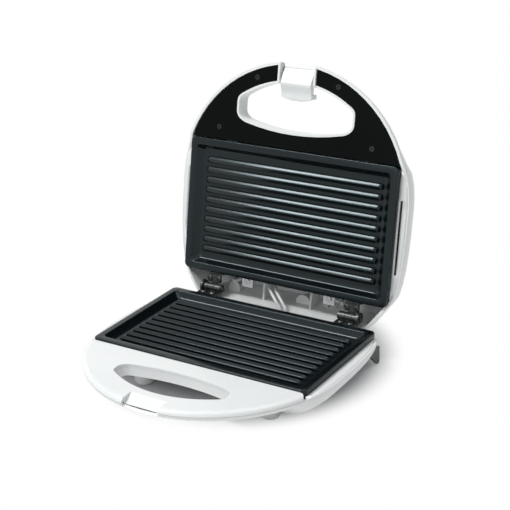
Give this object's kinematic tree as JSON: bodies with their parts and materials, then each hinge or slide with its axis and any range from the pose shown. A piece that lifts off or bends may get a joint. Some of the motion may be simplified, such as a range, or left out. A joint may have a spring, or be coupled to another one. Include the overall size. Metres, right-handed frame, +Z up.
{
  "type": "sandwich toaster",
  "caption": "Two-slice sandwich toaster with a round-fronted white clamshell body, ribbed non-stick plates, hinged lid, carrying handle with a hand opening and a swinging latch.",
  "frame": {"origin": "on the table, under the middle of the toaster's overall box with the lid open", "axes": "+Z up, -Y towards the handles and the user, +X to the right as the user sees it; the lid rests open"},
  "size_m": [0.241, 0.2879, 0.2607],
  "materials": {
    "white_plastic": "satin gloss",
    "black_panel": "smooth gloss",
    "non_stick": "semi-gloss non-stick coating",
    "charcoal_plastic": "fine matte",
    "dark_steel": "blackened steel",
    "bright_steel": "zinc plated",
    "sheath": "heat-darkened tube",
    "sheet_aluminium": "mill finish",
    "ceramic": "matte",
    "rubber": "matte",
    "sleeving": "braided glass-fibre sleeving",
    "lens": "clear red and green",
    "lamp_glass": "clear"
  },
  "bodies": {
    "base": {"base_housing": "white_plastic", "base_handle_cover": "white_plastic", "base_cover_screws": "bright_steel", "rear_legs": "charcoal_plastic", "cord_grommet": "rubber", "base_grill_plate": "non_stick", "base_heating_element": "sheath", "base_element_clamp": "bright_steel", "base_heat_shield": "sheet_aluminium", "base_shield_screws": "bright_steel", "base_tab_screws": "bright_steel", "thermostat": "ceramic", "thermal_fuse": "ceramic", "terminal_block": "ceramic", "base_hinge_brackets": "dark_steel", "base_hinge_screws": "bright_steel", "hinge_pins": "bright_steel", "base_wires": "sleeving"},
    "lid": {"lid_housing": "white_plastic", "lid_handle_panel": "black_panel", "lid_panel_screws": "dark_steel", "lid_grill_plate": "non_stick", "lid_heating_element": "sheath", "lid_element_clamp": "bright_steel", "lid_heat_shield": "sheet_aluminium", "lid_shield_screws": "bright_steel", "lid_tab_screws": "bright_steel", "lamp_lenses": "lens", "indicator_lamps": "lamp_glass", "lid_hinge_brackets": "dark_steel", "lid_hinge_screws": "bright_steel", "lid_wires": "sleeving", "latch_pin": "bright_steel"},
    "latch": {"latch": "white_plastic"}
  },
  "joints": [
    {"name": "lid_hinge", "type": "hinge", "parent": "base", "child": "lid", "pos_m": [0, 0.0792, 0.042], "axis": [1, 0, 0], "range_deg": [0, 101]},
    {"name": "latch_pivot", "type": "hinge", "parent": "lid", "child": "latch", "pos_m": [0, 0.13033, 0.25526], "axis": [-1, 0, 0], "range_deg": [0, 125]}
  ]
}
